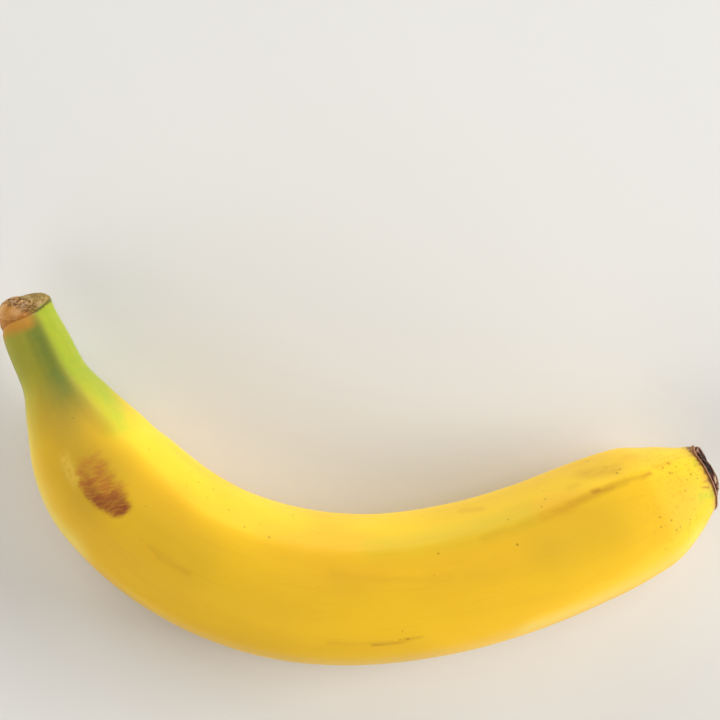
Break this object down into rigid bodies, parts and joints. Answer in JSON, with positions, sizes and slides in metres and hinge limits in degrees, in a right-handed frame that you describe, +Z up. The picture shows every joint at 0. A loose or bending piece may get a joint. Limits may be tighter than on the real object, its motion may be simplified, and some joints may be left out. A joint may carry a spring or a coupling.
{
  "type": "banana",
  "caption": "Whole ripe banana lying on its flank: a curved, five-ridged yellow fruit with a corky cut stem and a dried blossom end.",
  "frame": {"origin": "on the surface that the banana lies on, under the middle of its box", "axes": "+Z up; +X along its length, from the stem end to the blossom end; the outside of the bend faces -Y"},
  "size_m": [0.1838, 0.0942, 0.0379],
  "materials": {
    "peel": "satin",
    "stem_cork": "matte",
    "blossom_scar": "matte"
  },
  "bodies": {
    "root": {"banana": "peel"}
  },
  "joints": []
}
